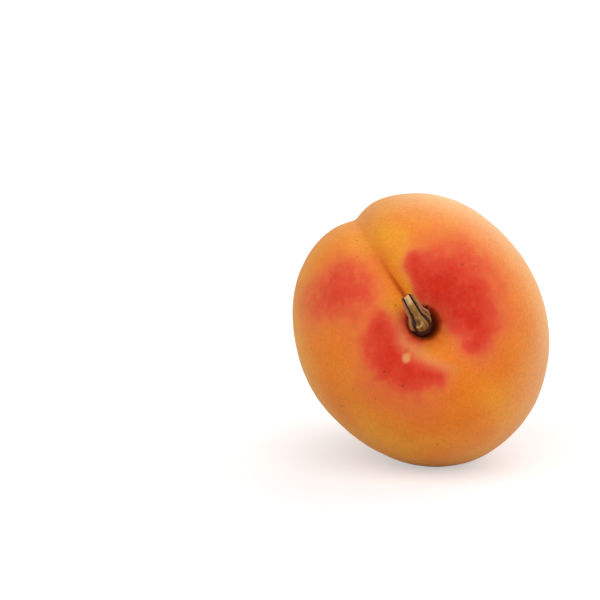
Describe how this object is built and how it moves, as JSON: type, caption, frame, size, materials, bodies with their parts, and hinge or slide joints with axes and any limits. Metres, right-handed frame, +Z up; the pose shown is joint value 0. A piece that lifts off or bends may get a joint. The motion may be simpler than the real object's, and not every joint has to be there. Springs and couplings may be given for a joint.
{
  "type": "apricot",
  "caption": "Whole ripe apricot lying on its side on a small flat spot, with a suture furrow, a hollow at the stem end that holds a short dry stem stub, and a rounded tip.",
  "frame": {"origin": "on the surface that the apricot rests on, under the centre of its bounding box", "axes": "+Z up; +Y from the stem end towards the tip, nearly along the core; +X to the right as the stem end is faced"},
  "size_m": [0.0458, 0.059, 0.0483],
  "materials": {
    "skin": "soft satin skin with a fine down, orange with red blush",
    "bark": "dry matt bark with a pale cut end"
  },
  "bodies": {
    "root": {"fruit": "skin", "stem": "bark"}
  },
  "joints": []
}
